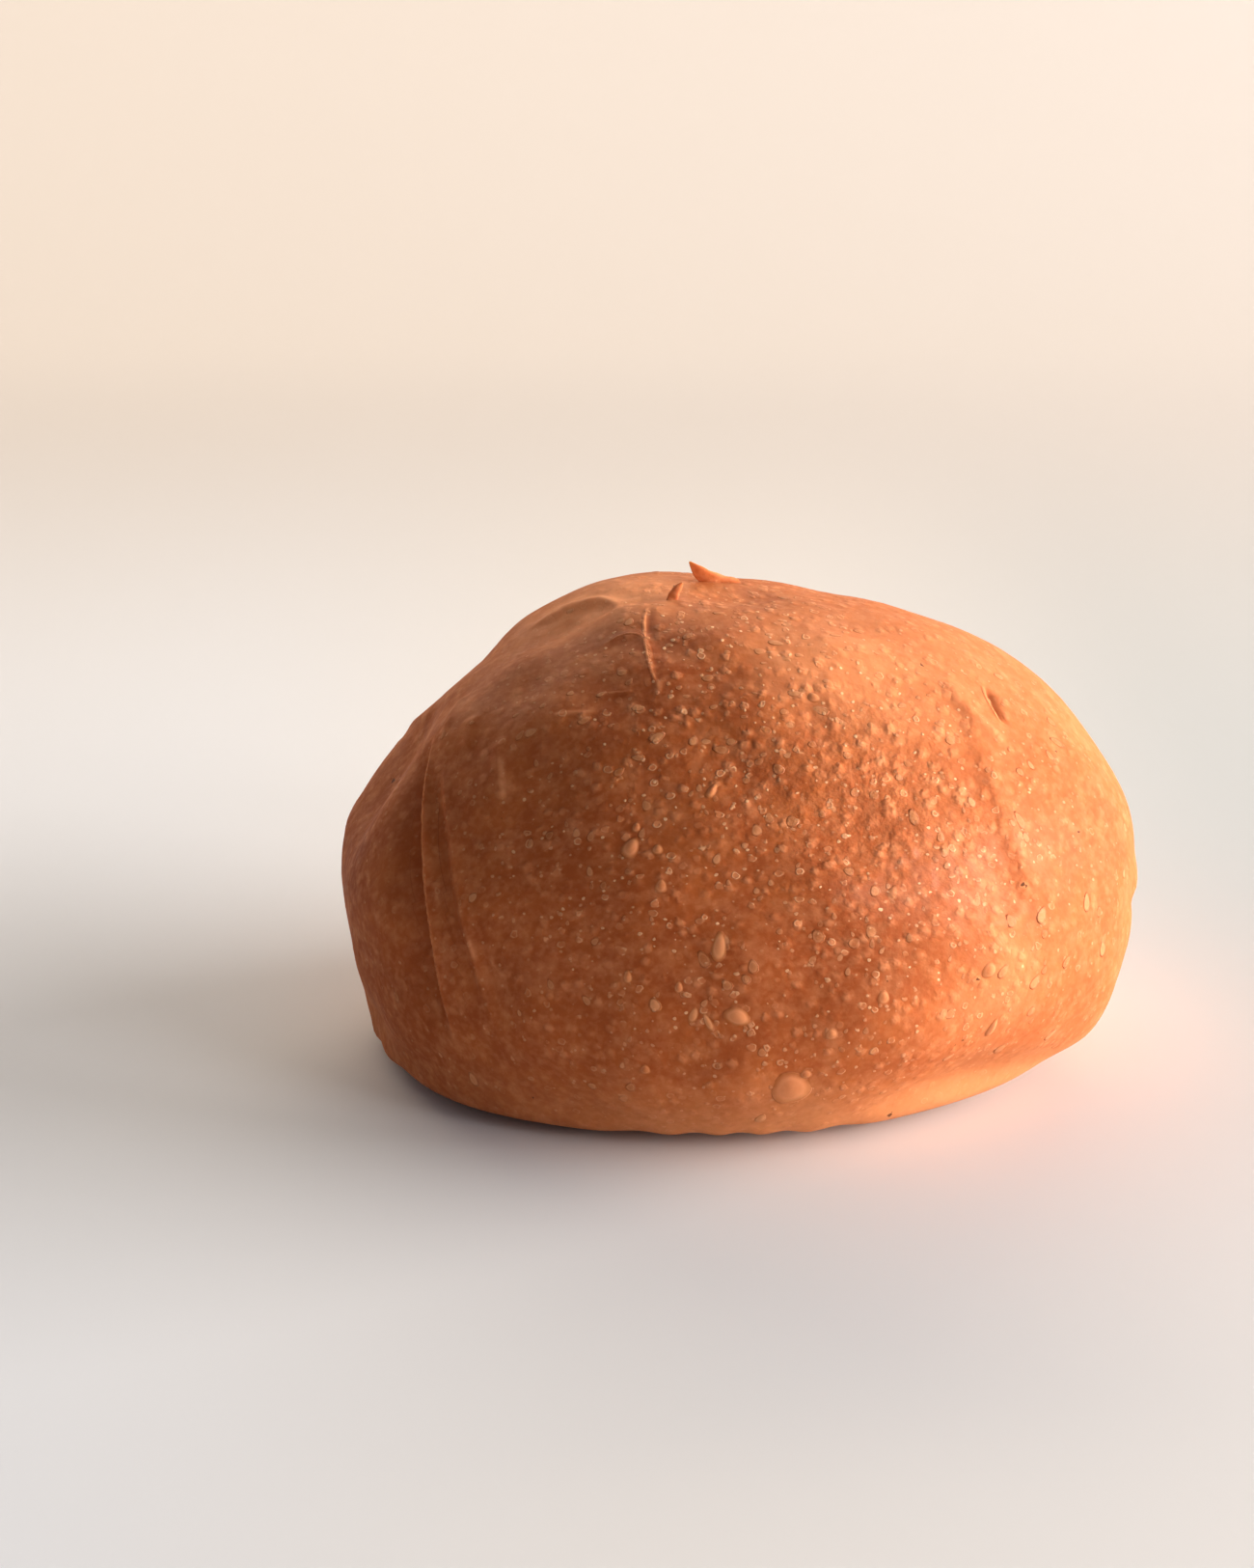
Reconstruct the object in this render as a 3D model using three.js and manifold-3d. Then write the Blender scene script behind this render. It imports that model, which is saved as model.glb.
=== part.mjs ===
// A brioche bun: one closed solid of baked dough with a flat underside.
// The dough leans to the left, has tucks down its left front, a torn seam on its crown
// and a pit on its right shoulder. Two flaps of torn skin stand up at the seam.
// Millimetres, +Z up. X runs across the bun, Y runs from its front to its back.
import * as THREE from "three";
import { mergeVertices } from "three/addons/utils/BufferGeometryUtils.js";
import Module from "manifold-3d";

const { degToRad, radToDeg, smoothstep, clamp } = THREE.MathUtils;

// Driving sizes
const halfWidth = 47.1;
const halfDepth = 45.5;
const height = 54.5;
const bellyHeight = 23; // level where the bun is widest
const footRound = 7; // how softly the underside turns up into the side
const crownLean = { x: -7, y: -0.4 }; // the crown stands this far off the middle

// Fullness of the dome on each side: 2 is an ellipse, less is a straighter slope
const shoulder = { right: 2.35, back: 2.2, left: 1.55, front: 2.2 };
// Depth of the curve below the belly on each side: a short one tucks the foot further in
const underCurve = { right: 33, back: 38, left: 46, front: 31.5 };
const underFullness = 2.2;

// Places on the skin are [azimuth, polar angle] in degrees, seen from the middle of the belly:
// azimuth 0 is the right side, -90 the front, and polar angle 0 is straight up.
// Swells and hollows: where, how high in mm, and how many degrees they spread.
const swells = {
  crest: { at: [125, 28], high: 1.02, spread: 18 },
  leftSlope: { at: [155, 57], high: -1.61, spread: 13 },
  leftKnuckle: { at: [184, 76], high: -2.72, spread: 13 },
  leftHeel: { at: [-163, 116], high: -1.83, spread: 12 },
  leftFlank: { at: [-175, 103], high: -0.97, spread: 10 },
  rightShoulder: { at: [10, 60], high: 1.39, spread: 15 },
  rightHip: { at: [-20, 108], high: 1.53, spread: 12 },
  rightHeel: { at: [-50, 120], high: -3.11, spread: 16 },
  belowSeam: { at: [-93, 29], high: -0.4, spread: 6 },
  frontDimple: { at: [-88, 54], high: -0.5, spread: 6 },
  lowRightDent: { at: [-48, 82], high: -0.5, spread: 4.5 },
  lowRightBulge: { at: [-52, 88], high: 0.45, spread: 5 },
  backDimple: { at: [70, 62], high: -0.9, spread: 8 },
  pleatLump: { at: [159, 26], high: 0.35, spread: 5 },
  pleatEnd: { at: [-158, 13], high: 0.25, spread: 3.5 },
  pleatValley: { at: [-178, 27], high: -0.35, spread: 5 },
};

// Folds run along three places. To the left of a run the skin drops by deep within a short
// step and comes back over wide mm, and a lip stands along the run. A crisp fold has a shorter step.
const folds = {
  mainTuck: { run: [[-136, 106], [-140, 82], [-160, 60]], deep: 2.2, wide: 5, lip: 0.4, crisp: true },
  secondTuck: { run: [[-127, 101], [-134.5, 79], [-148, 64]], deep: 0.7, wide: 2.2, lip: 0.35, crisp: true },
  wrinkle: { run: [[-127, 67], [-131, 61], [-135, 56]], deep: 0.1, wide: 1.5, lip: 0.3, crisp: true },
  upperRidge: { run: [[-166, 52], [-161, 55], [-152, 58]], deep: 0.1, wide: 2.5, lip: 0.3 },
  upperWedge: { run: [[-149, 54], [-145, 57], [-143, 61]], deep: 0.1, wide: 2.5, lip: 0.3 },
  tornSeam: { run: [[80, 9], [-112, 18], [-99, 39]], deep: 0.5, wide: 2.2, lip: 0.2, crisp: true },
  leftPleat: { run: [[-160, 11], [157, 21], [167, 40]], deep: 0.4, wide: 2.4, lip: 0.35 },
  seamPleat: { run: [[-129, 31], [-113, 22], [-100, 37]], deep: 0.1, wide: 1.5, lip: 0.2, crisp: true },
  frontPleat: { run: [[-105, 42], [-110, 42.5], [-116, 44]], deep: 0.1, wide: 1.6, lip: 0.2, crisp: true },
  rightPit: { run: [[-17, 55], [-22, 57], [-26, 60.5]], deep: 1.6, wide: 1.2, lip: 0.1, crisp: true },
  rightLedge: { run: [[1, 90], [-7, 90], [-15, 91]], deep: 0.7, wide: 3, lip: 0.35 },
  rightRidge: { run: [[-30, 64], [-31, 57], [-22, 51]], deep: 0.2, wide: 2.5, lip: 0.4 },
  rightFold: { run: [[-43, 84], [-43, 70], [-26, 54]], deep: 0.25, wide: 4, lip: 0.2 },
  middleRidge: { run: [[-64, 60], [-59, 50], [-54, 42]], deep: 0.25, wide: 4, lip: 0.3 },
  kneeRidge: { run: [[175, 62], [163, 69], [152, 77]], deep: 0.2, wide: 3, lip: 0.35 },
  sideRidge: { run: [[-170, 84], [177, 86], [164, 86]], deep: 0.2, wide: 3, lip: 0.4 },
  backTuck: { run: [[58, 104], [68, 80], [62, 52]], deep: 1.5, wide: 4.5, lip: 0.4 },
  backWrinkle: { run: [[124, 98], [116, 80], [120, 62]], deep: 0.8, wide: 3, lip: 0.3 },
};
const crispStep = 0.9;
const softStep = 1.5;
const lipWidth = 1.3; // of the step
const foldEnd = 0.22; // share of a fold's run over which it fades at each end
const foldSteps = 40;

// The largest blisters of the glazed skin: flat-topped domes, half width and height in mm
const blisters = {
  pear: { at: [-83, 107], wide: 2.2, high: 0.5 },
  lens: { at: [-91, 94], wide: 1.5, high: 0.4 },
  upright: { at: [-93, 84], wide: 1.3, high: 0.4 },
  upper: { at: [-104, 71], wide: 1.2, high: 0.35 },
  right: { at: [-54, 91], wide: 1.2, high: 0.35 },
};
const blisterTop = 0.3; // share of a blister's half width that is flat

// Slow unevenness of the skin, and scallops round the foot
const waves = {
  broad: { length: 26, high: 0.35, count: 7 },
  close: { length: 11, high: 0.16, count: 9 },
};
const scallop = { high: 0.2, count: 13, level: 4 };
const reliefFloor = 7; // relief fades out over this height above the underside

// Flaps of torn skin at the seam, from a root in the skin to a free tip, turned about their length
const flaps = {
  large: {
    root: [1.6, 13.5, 52.9], bend: [-3, 9.8, 54], tip: [-5.3, 8.6, 56.9],
    wide: 1.6, thick: 0.5, roll: 70,
  },
  small: {
    root: [-7.6, -0.9, 53.4], bend: [-7.7, -0.4, 55.2], tip: [-6.2, 0.6, 56.4],
    wide: 0.8, thick: 0.45, roll: 40,
  },
};
const flapTaper = 0.4; // how much narrower a flap is at its tip than at its root
const flapSides = 12;

// Faces: an icosahedron with its edges cut, then cut again where a feature needs it.
// Edges within reach of a feature, in mm, are cut until they are no longer than its spacing.
const edgeCuts = 13;
const undersideThin = 0.2; // share of the faces' spacing that moves from the underside to the dome
const crispFaces = { reach: 2.2, spacing: 1.2 };
const softFaces = { reach: 4, spacing: 2.4 };
const footFaces = { from: 104, to: 127, spacing: 2.5 }; // polar angles of the rounded foot
const cutRounds = 3;

function direction([azimuth, polar]) {
  const turn = degToRad(azimuth);
  const down = degToRad(polar);
  return new THREE.Vector3(Math.sin(down) * Math.cos(turn), Math.sin(down) * Math.sin(turn), Math.cos(down));
}

// A value at an azimuth, from its values on the four sides
function bySide(side, azimuth) {
  const c = Math.cos(azimuth);
  const s = Math.sin(azimuth);
  return c * c * (c > 0 ? side.right : side.left) + s * s * (s > 0 ? side.back : side.front);
}

function softMin(a, b, round) {
  const near = Math.max(round - Math.abs(a - b), 0) / round;
  return Math.min(a, b) - (near * near * round) / 4;
}

function bell(x, width) {
  return Math.exp(-((x / width) ** 2));
}

// Distance from the middle of the belly to the plain skin, before its relief
function reach(way) {
  const azimuth = Math.atan2(way.y, way.x);
  const flat = Math.hypot(way.x, way.y);
  const around = 1 / Math.hypot(Math.cos(azimuth) / halfWidth, Math.sin(azimuth) / halfDepth);
  const upper = way.z > 0;
  const power = upper ? bySide(shoulder, azimuth) : underFullness;
  const rise = upper ? height - bellyHeight : bySide(underCurve, azimuth);
  const body = ((flat / around) ** power + (Math.abs(way.z) / rise) ** power) ** (-1 / power);
  return softMin(body, bellyHeight / Math.max(-way.z, 1e-6), footRound);
}

// The middle line of a fold as directions, through its three places
function foldLine({ run }) {
  const [start, middle, end] = run.map(direction);
  const pull = middle.clone().multiplyScalar(2).addScaledVector(start, -0.5).addScaledVector(end, -0.5);
  const curve = new THREE.QuadraticBezierCurve3(start, pull, end);
  return curve.getPoints(foldSteps).map((p) => p.normalize());
}
const foldRuns = Object.values(folds).map((fold) => ({ ...fold, line: foldLine(fold) }));

function nearestStep(line, way) {
  let best = 0;
  for (let i = 1; i < line.length; i++) {
    if (line[i].distanceToSquared(way) < line[best].distanceToSquared(way)) best = i;
  }
  return best;
}

function foldRelief({ line, deep, wide, lip, crisp }, way, far) {
  const step = nearestStep(line, way);
  const ahead = line[Math.min(step + 1, foldSteps)].clone().sub(line[Math.max(step - 1, 0)]).normalize();
  const away = way.clone().sub(line[step]);
  const along = (step + away.dot(ahead) / line[0].distanceTo(line[1])) / foldSteps;
  const fade = smoothstep(along, 0, foldEnd) * smoothstep(1 - along, 0, foldEnd);
  const gap = away.dot(ahead.cross(line[step])) * far;
  const short = crisp ? crispStep : softStep;
  const drop = gap < 0 ? (1 - bell(gap, short)) * bell(gap, wide) : 0;
  return fade * (lip * bell(gap, lipWidth * short) - deep * drop);
}

function waveRelief(point) {
  let sum = 0;
  for (const { length, high, count } of Object.values(waves)) {
    for (let i = 0; i < count; i++) {
      const z = 1 - (2 * i + 1) / count;
      const flat = Math.sqrt(1 - z * z);
      const turn = i * Math.PI * (3 - Math.sqrt(5));
      const run = flat * Math.cos(turn) * point.x + flat * Math.sin(turn) * point.y + z * point.z;
      sum += (high / Math.sqrt(count)) * Math.sin((2 * Math.PI * run) / length + i * i);
    }
  }
  return sum;
}

// The place on the finished skin in a direction from the middle of the belly
function skin(way) {
  const far = reach(way);
  const point = way.clone().multiplyScalar(far);
  const level = point.z + bellyHeight;
  let relief = waveRelief(point);
  for (const { at, high, spread } of Object.values(swells)) {
    relief += high * bell(radToDeg(direction(at).angleTo(way)), spread);
  }
  for (const fold of foldRuns) relief += foldRelief(fold, way, far);
  for (const { at, wide, high } of Object.values(blisters)) {
    const gap = direction(at).distanceTo(way) * far;
    relief += high * (1 - smoothstep(gap, blisterTop * wide, wide));
  }
  const azimuth = Math.atan2(way.y, way.x);
  relief += scallop.high * Math.sin(scallop.count * azimuth) * bell(level - scallop.level, scallop.level);
  point.addScaledVector(way, relief * smoothstep(level, 0, reliefFloor));
  const climb = Math.max(point.z / (height - bellyHeight), 0) ** 1.5;
  point.x += crownLean.x * climb;
  point.y += crownLean.y * climb;
  point.z += bellyHeight;
  return point;
}

// The longest edge that the faces may have at a direction, as a share of the distance to it
function longestEdge(way) {
  const far = reach(way);
  const polar = radToDeg(Math.acos(way.z));
  let longest = polar > footFaces.from && polar < footFaces.to ? footFaces.spacing : Infinity;
  for (const { line, crisp } of foldRuns) {
    const gap = line[nearestStep(line, way)].distanceTo(way) * far;
    if (gap < softFaces.reach) longest = Math.min(longest, softFaces.spacing);
    if (gap < crispFaces.reach && crisp) longest = Math.min(longest, crispFaces.spacing);
  }
  for (const { at, wide } of Object.values(blisters)) {
    if (direction(at).distanceTo(way) * far < wide + crispFaces.spacing) longest = crispFaces.spacing;
  }
  return longest / far;
}

// Cuts the edges that are too long at their middle, and their faces with them
function cutOnce(ways, faces) {
  const halves = new Map();
  const half = (a, b) => {
    const key = Math.min(a, b) + " " + Math.max(a, b);
    if (!halves.has(key)) {
      const mid = ways[a].clone().add(ways[b]).normalize();
      const long = ways[a].distanceTo(ways[b]) > longestEdge(mid);
      halves.set(key, long ? ways.push(mid) - 1 : -1);
    }
    return halves.get(key);
  };
  return faces.flatMap(([a, b, c]) => {
    const mids = [half(a, b), half(b, c), half(c, a)];
    if (mids.every((m) => m >= 0)) {
      return [mids, [a, mids[0], mids[2]], [b, mids[1], mids[0]], [c, mids[2], mids[1]]];
    }
    const first = mids.findIndex((m) => m >= 0);
    if (first < 0) return [[a, b, c]];
    const ring = [a, mids[0], b, mids[1], c, mids[2]];
    const turned = [...ring.slice(2 * first + 1), ...ring.slice(0, 2 * first + 1)];
    const [apex, ...rest] = turned.filter((v) => v >= 0);
    return rest.slice(1).map((v, i) => [apex, rest[i], v]);
  });
}

// A geometry with its vertices moved by a function and shared between its faces
function moved(geometry, place) {
  const made = geometry.clone();
  const at = made.attributes.position;
  for (let i = 0; i < at.count; i++) {
    const point = place(new THREE.Vector3().fromBufferAttribute(at, i));
    at.setXYZ(i, point.x, point.y, Math.abs(point.z) < 1e-5 ? 0 : point.z);
  }
  made.deleteAttribute("normal");
  made.deleteAttribute("uv");
  return mergeVertices(made, 1e-3);
}

function towardsDome(way) {
  const share = Math.acos(clamp(way.z, -1, 1)) / Math.PI;
  const polar = 180 * ((1 - undersideThin) * share + undersideThin * share ** 5);
  return direction([radToDeg(Math.atan2(way.y, way.x)), polar]);
}

function doughGeometry() {
  const ball = moved(new THREE.IcosahedronGeometry(1, edgeCuts), towardsDome);
  const at = ball.attributes.position;
  const corners = ball.index.array;
  const ways = Array.from({ length: at.count }, (_, i) => new THREE.Vector3().fromBufferAttribute(at, i));
  let faces = Array.from({ length: corners.length / 3 }, (_, i) => [...corners.slice(3 * i, 3 * i + 3)]);
  for (let round = 0; round < cutRounds; round++) faces = cutOnce(ways, faces);
  const fine = new THREE.BufferGeometry().setFromPoints(ways).setIndex(faces.flat());
  return moved(fine, skin);
}

// A sphere drawn out along a curve into a flat flap that narrows to its tip
function flapGeometry({ root, bend, tip, wide, thick, roll }) {
  const [start, middle, end] = [root, bend, tip].map((p) => new THREE.Vector3(...p));
  const curve = new THREE.QuadraticBezierCurve3(start, middle, end);
  const up = new THREE.Vector3(0, 0, 1);
  return moved(new THREE.SphereGeometry(1, flapSides, flapSides), (p) => {
    const along = (p.y + 1) / 2;
    const ahead = curve.getTangent(along);
    const across = ahead.clone().cross(up).normalize().applyAxisAngle(ahead, degToRad(roll));
    const face = across.clone().cross(ahead);
    const narrow = 1 - flapTaper * along;
    const point = curve.getPoint(along).addScaledVector(across, p.x * wide * narrow);
    return point.addScaledVector(face, p.z * thick * narrow);
  });
}

const wasm = await Module();
wasm.setup();

function toSolid(geometry) {
  const vertProperties = new Float32Array(geometry.attributes.position.array);
  const triVerts = new Uint32Array(geometry.index.array);
  return new wasm.Manifold(new wasm.Mesh({ numProp: 3, vertProperties, triVerts }));
}

function toGeometry(solid) {
  const mesh = solid.getMesh();
  return new THREE.BufferGeometry()
    .setAttribute("position", new THREE.BufferAttribute(mesh.vertProperties, 3))
    .setIndex(new THREE.BufferAttribute(mesh.triVerts, 1));
}

let dough = toSolid(doughGeometry());
for (const flap of Object.values(flaps)) dough = dough.add(toSolid(flapGeometry(flap)));
const bunGeometry = toGeometry(dough);

// The origin is under the middle of the bun's outline
bunGeometry.computeBoundingBox();
const middle = bunGeometry.boundingBox.getCenter(new THREE.Vector3());
bunGeometry.translate(-middle.x, -middle.y, 0);

const crustColour = new THREE.Color(0.5, 0.14, 0.04);
const crust = new THREE.MeshStandardMaterial({ color: crustColour, roughness: 0.6, metalness: 0 });
const bun = new THREE.Mesh(bunGeometry, crust);
bun.name = "bun";

const part = new THREE.Group();
part.add(bun);
export default part;
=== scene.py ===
import math
import bpy
import bmesh
import numpy as np
from mathutils import Matrix, Vector


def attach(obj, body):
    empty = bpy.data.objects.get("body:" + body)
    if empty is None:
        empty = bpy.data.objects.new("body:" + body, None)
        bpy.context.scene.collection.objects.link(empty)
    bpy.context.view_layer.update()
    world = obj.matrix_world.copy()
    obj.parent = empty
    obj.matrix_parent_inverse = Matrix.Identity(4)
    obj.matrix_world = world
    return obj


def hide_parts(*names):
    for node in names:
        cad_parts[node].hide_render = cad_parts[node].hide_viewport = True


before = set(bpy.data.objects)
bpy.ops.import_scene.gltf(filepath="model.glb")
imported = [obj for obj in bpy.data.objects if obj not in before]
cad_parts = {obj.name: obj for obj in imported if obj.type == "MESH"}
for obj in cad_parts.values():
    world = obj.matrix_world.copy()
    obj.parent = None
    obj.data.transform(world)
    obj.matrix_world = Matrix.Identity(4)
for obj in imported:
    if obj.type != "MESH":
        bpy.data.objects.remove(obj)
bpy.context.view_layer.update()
print("frame loaded")

mm = 0.001

# The camera: degrees above level, distance, and how far the picture's middle is off the bun's foot
view = {"tilt": 17, "far": 460, "aside": -12.93, "above": 30.72, "lens": 87.7}


def makeCamera():
    tilt = math.radians(view["tilt"])
    back = Vector((0, -math.cos(tilt), math.sin(tilt)))
    up = Vector((0, math.sin(tilt), math.cos(tilt)))
    place = (back * view["far"] + Vector((view["aside"], 0, 0)) + up * view["above"]) * mm
    data = bpy.data.cameras.new("camera")
    data.lens = view["lens"]
    data.sensor_width = 36
    camera = bpy.data.objects.new("camera", data)
    turn = Matrix((Vector((1, 0, 0)), up, back)).transposed().to_4x4()
    camera.matrix_world = Matrix.Translation(place) @ turn
    bpy.context.scene.collection.objects.link(camera)
    bpy.context.scene.camera = camera


makeCamera()
print("camera placed")

# The bun's form, in mm
bun = {
    "halfWidth": 47.1, "halfDepth": 45.5, "height": 54.5,
    "bellyHeight": 23,                     # level where it is widest
    "footRound": 7,
    "leanX": -7, "leanY": -0.4,
    "shoulder": (2.35, 2.2, 1.55, 2.2),    # fullness on the right, back, left and front
    "underCurve": (33, 38, 46, 31.5),      # depth of the curve under the belly, same sides
    "underFullness": 2.2,
    "edgeCuts": 85,                        # cuts in each edge of the icosahedron that becomes the skin
    "foldReach": 1.8,                      # faces this near a crisp fold are cut once more
    "streakReach": 1.2,                    # and this near a streak
    "undersideThin": 0.2,
    "frontFiner": 0.25,                    # how far the faces crowd to the front, 0 to 1
    "reliefFloor": 7,
    "middle": (0.257, -0.087),             # middle of its outline, which becomes the origin
}

# Swells and hollows: azimuth and polar angle in degrees, height in mm, spread in degrees
swells = {
    "crest": (125, 28, 1.02, 18),
    "leftSlope": (155, 57, -1.61, 13),
    "leftKnuckle": (184, 76, -2.72, 13),
    "leftHeel": (-163, 116, -1.83, 12),
    "leftFlank": (-175, 103, -0.97, 10),
    "rightShoulder": (10, 60, 1.39, 15),
    "rightHip": (-20, 108, 1.53, 12),
    "rightHeel": (-50, 120, -3.11, 16),
    "belowSeam": (-93, 29, -0.4, 6),
    "frontDimple": (-88, 54, -0.4, 6),
    "lowRightDent": (-48, 82, -0.5, 4.5),
    "lowRightBulge": (-52, 88, 0.45, 5),
    "backDimple": (70, 62, -0.9, 8),
    "pleatLump": (159, 26, 0.35, 5),
    "pleatEnd": (-158, 13, 0.25, 3.5),
    "pleatValley": (-178, 27, -0.35, 5),
}

# Folds: three places along each, depth, width and lip in mm, and the step of its steep side
folds = {
    "mainTuck": (((-136, 106), (-140, 82), (-160, 60)), 2.2, 5, 0.4, 0.6),
    "secondTuck": (((-127, 101), (-134.5, 79), (-148, 64)), 0.6, 2.2, 0.35, 0.85),
    "wrinkle": (((-127, 67), (-131, 61), (-135, 56)), 0.05, 1.5, 0.25, 0.9),
    "tornSeam": (((-132, 8), (-108, 23), (-98, 42)), 0.12, 1.2, 0.02, 0.3),
    "leftPleat": (((-160, 11), (157, 21), (167, 40)), 0.25, 2.4, 0.3, 1.1),
    "seamPleat": (((-129, 31), (-113, 22), (-100, 37)), 0.1, 1.5, 0.16, 0.8),
    "frontPleat": (((-105, 42), (-110, 42.5), (-116, 44)), 0.1, 1.6, 0.1, 0.8),
    "upperRidge": (((-166, 52), (-161, 55), (-152, 58)), 0.1, 1.5, 0.3, 0.9),
    "upperWedge": (((-149, 54), (-145, 57), (-143, 61)), 0.1, 2, 0.3, 1.0),
    "rightPit": (((-17, 55), (-22, 57), (-26, 60.5)), 1.0, 0.9, 0.06, 0.5),
    "rightLedge": (((1, 90), (-7, 90), (-15, 91)), 0.7, 3, 0.35, 1.1),
    "rightRidge": (((-30, 64), (-31, 57), (-22, 51)), 0.2, 2.5, 0.4, 1.2),
    "rightFold": (((-43, 84), (-43, 70), (-26, 54)), 0.25, 4, 0.2, 1.1),
    "middleRidge": (((-64, 60), (-59, 50), (-54, 42)), 0.1, 4, 0.12, 1.5),
    "kneeRidge": (((175, 62), (163, 69), (152, 77)), 0.2, 3, 0.35, 1.5),
    "sideRidge": (((-170, 84), (177, 86), (164, 86)), 0.2, 3, 0.4, 1.5),
    "backTuck": (((58, 104), (68, 80), (62, 52)), 1.5, 4.5, 0.4, 1.5),
    "backWrinkle": (((124, 98), (116, 80), (120, 62)), 0.8, 3, 0.3, 1.5),
}
foldEnd = 0.22          # share of a fold's length over which each end fades
foldSteps = 40
noLine = 4.0            # mm, the gap given where no crisp fold is near

# Short pale streaks, partly pale skin and partly painted light along small ridges and the seam's lit
# edge: three places along each, half width and height in mm, how pale
streaks = {
    "seam": (((-132, 8), (-108, 23), (-98, 42)), 0.2, 0, 0.6),
    "wrinkle": (((-132.4, 58.8), (-128.7, 63.2), (-127.1, 67.1)), 0.45, 0, 0.9),
    "leftBlob": (((-114.1, 67.2), (-113.5, 68.8), (-113.1, 70.1)), 0.7, 0.08, 0.5),
    "cheek": (((-147, 87.9), (-146, 86.6), (-144.9, 85.9)), 0.4, 0.06, 0.4),
    "arc": (((-126.9, 88.9), (-126.5, 90.8), (-123.8, 92.2)), 0.25, 0.05, 0.6),
    "secondTuck": (((-130.5, 87.3), (-130, 88.8), (-129.3, 90.4)), 0.3, 0.05, 0.9),
    "mainTuck": (((-138, 82.3), (-137.4, 83.4), (-136.6, 84.7)), 0.35, 0.05, 0.6),
    "pleatHook": (((163.1, 23.1), (156.1, 17.2), (-152.8, 13.6)), 0.6, 0.15, 0.5),
    "front": (((-123.3, 50.2), (-119.5, 48.9), (-112.8, 47.7)), 0.35, 0.1, 0.6),
    "seamEnd": (((-98.3, 38.2), (-98.6, 40.6), (-99.1, 43.1)), 0.4, 0.08, 0.7),
    "underSeam": (((-96.1, 47.8), (-93.6, 48.7), (-91.2, 50.4)), 0.35, 0.08, 0.4),
    "rightArc": (((-63.4, 66.6), (-61.8, 66.5), (-62.7, 68.4)), 0.3, 0.15, 0.5),
    "lowerArc": (((-62.8, 72.1), (-62.1, 72.7), (-62.8, 74.2)), 0.35, 0.15, 0.5),
    "cheekLump": (((-54.5, 84), (-49.7, 85), (-45.6, 83.2)), 0.9, 0.3, 0.3),
}

# Waves: length and height in mm, and how many cross
waves = ((26, 0.35, 7), (11, 0.16, 9))

# Where it is paler (above 0) or darker: partly uneven baking, and partly painted light and shade, such
# as the lit right front, the lit crown on the left, and the shaded left side and seam trough. Azimuth
# and polar angle, spread in degrees, amount
bakeAndLightPatches = {
    "belowSeam": (-95, 42, 13, -0.65),
    "rightFront": (-48, 44, 16, 0.65),
    "rightShoulder": (-12, 48, 20, 0.25),
    "rightCheek": (-48, 76, 13, 0.15),
    "rightRim": (-24, 80, 13, -0.3),
    "rightLow": (-52, 95, 9, 0.4),
    "crownLeft": (150, 19, 17, 1.0),
    "backLeft": (115, 70, 16, 0.4),
    "backRight": (50, 84, 18, -0.4),
    "crownFront": (-110, 13, 9, 0.1),
    "leftUpper": (-153, 42, 9, -0.35),
    "peelZone": (-60, 70, 8, 0.1),
    "middleLow": (-72, 86, 9, -0.3),
    "leftBulge": (-166, 84, 10, -0.7),
    "footMiddle": (-89, 106, 5, 0.4),
    "leftCheek": (-122, 84, 24, -0.3),
    "leftRim": (178, 85, 22, -0.5),
    "leftFoot": (-145, 108, 14, -0.5),
    "seamTrough": (-97, 26, 6, -0.6),
    "lowFront": (-92, 86, 20, -0.4),
    "lowRight": (-78, 87, 7, -0.35),
    "leftMiddle": (-112, 71, 9, -0.3),
}

# Ripples round the foot, in mm, and how many go round
scallop = {"high": 0.2, "count": 13, "level": 4}
crinkle = {"high": 0.22, "count": 21, "bias": 0.3, "level": 1.2, "spread": 2, "uneven": 6}


def direction(azimuth, polar):
    turn, down = np.radians(azimuth), np.radians(polar)
    flat = np.sin(down)
    return np.stack([flat * np.cos(turn), flat * np.sin(turn), np.cos(down) + 0 * turn], -1)


def bySide(side, azimuth):
    right, back, left, front = side
    c, s = np.cos(azimuth), np.sin(azimuth)
    return c * c * np.where(c > 0, right, left) + s * s * np.where(s > 0, back, front)


def softMin(a, b, round):
    near = np.maximum(round - np.abs(a - b), 0) / round
    return np.minimum(a, b) - near * near * round / 4


def bell(x, width):
    return np.exp(-(x / width) ** 2)


def smoothStep(x, low, high):
    t = np.clip((x - low) / (high - low), 0, 1)
    return t * t * (3 - 2 * t)


def reach(ways):
    azimuth = np.arctan2(ways[:, 1], ways[:, 0])
    flat, up = np.hypot(ways[:, 0], ways[:, 1]), ways[:, 2]
    around = 1 / np.hypot(np.cos(azimuth) / bun["halfWidth"], np.sin(azimuth) / bun["halfDepth"])
    power = np.where(up > 0, bySide(bun["shoulder"], azimuth), bun["underFullness"])
    rise = np.where(up > 0, bun["height"] - bun["bellyHeight"], bySide(bun["underCurve"], azimuth))
    body = ((flat / around) ** power + (np.abs(up) / rise) ** power) ** (-1 / power)
    return softMin(body, bun["bellyHeight"] / np.maximum(-up, 1e-6), bun["footRound"])


def unit(v):
    return v / np.linalg.norm(v, axis=-1, keepdims=True)


def foldLine(run):
    start, middle, end = [direction(*place) for place in run]
    pull = 2 * middle - (start + end) / 2
    t = np.linspace(0, 1, foldSteps + 1)[:, None]
    return unit((1 - t) ** 2 * start + 2 * t * (1 - t) * pull + t * t * end)


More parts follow.
